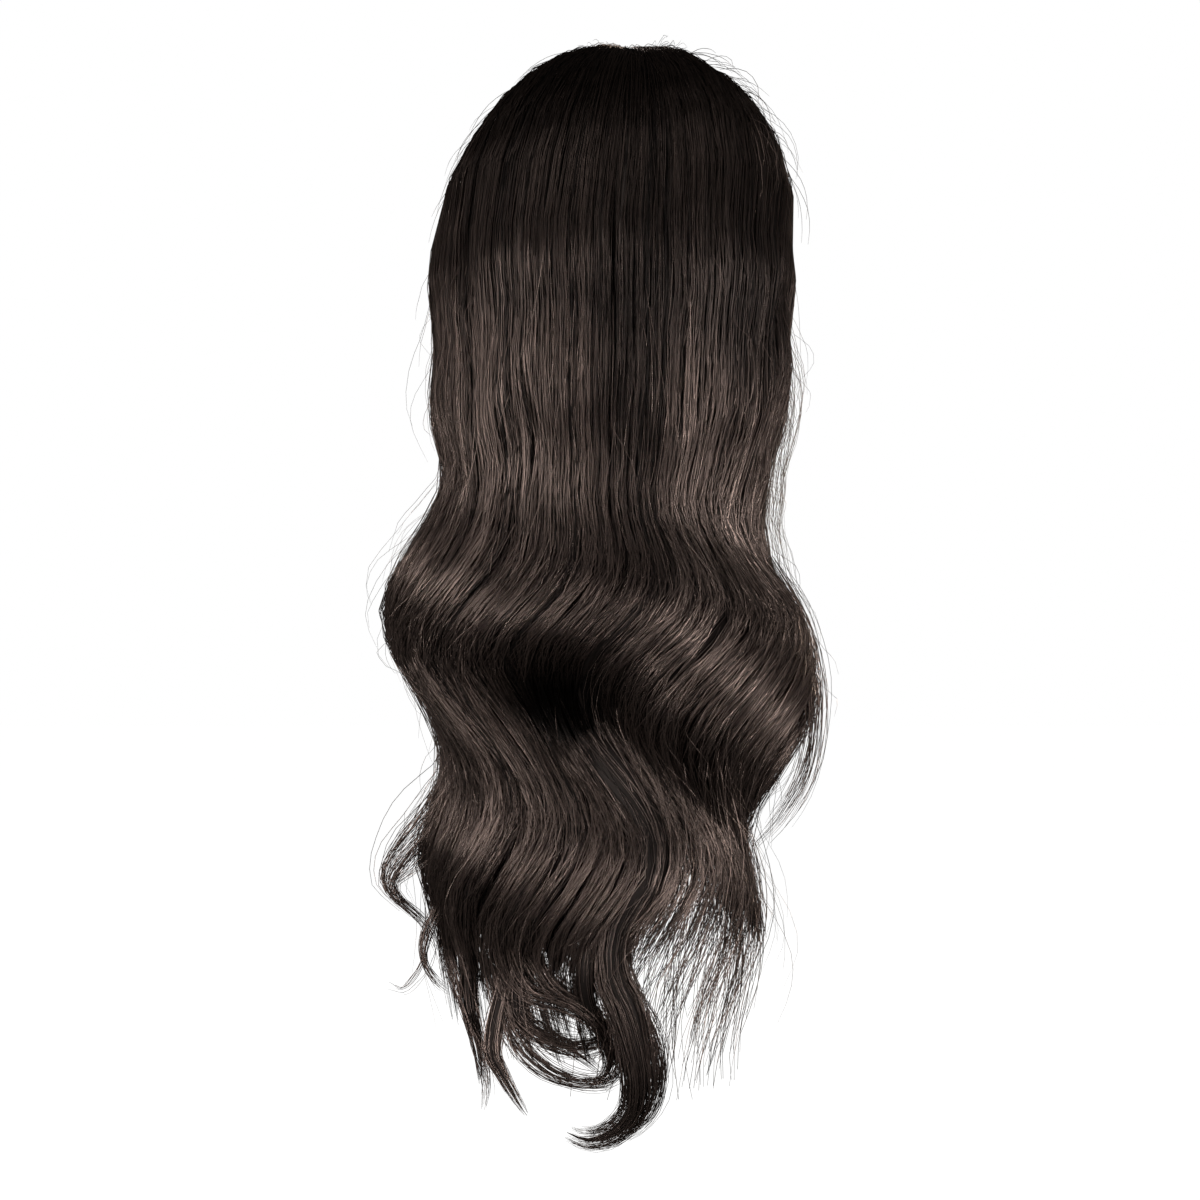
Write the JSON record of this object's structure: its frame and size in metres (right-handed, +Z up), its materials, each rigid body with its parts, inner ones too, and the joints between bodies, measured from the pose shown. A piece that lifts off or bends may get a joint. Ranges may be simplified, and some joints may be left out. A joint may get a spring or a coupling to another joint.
{
  "type": "lace front wig",
  "caption": "Long dark body-wave wig: a sewn cap with a lace front, and hair that falls from a short parting in wide waves to curled tips.",
  "frame": {"origin": "inside top of the cap's crown, where the wearer's crown meets it", "axes": "+Z up along the head and the fall of the hair, -Y the way the face looks, +X the wearer's left"},
  "size_m": [0.24, 0.214, 0.5938],
  "materials": {
    "hair": "glossy hair, near black in shade and cool brown in its sheen",
    "lace": "fine matt net, skin toned",
    "cap_net": "matt net and elastic"
  },
  "bodies": {
    "root": {"lace_front": "lace", "weft_cap": "cap_net", "nape_band": "cap_net", "right_front_hair": "hair", "right_side_hair": "hair", "back_right_hair": "hair", "back_left_hair": "hair", "left_side_hair": "hair", "left_front_hair": "hair"}
  },
  "joints": []
}
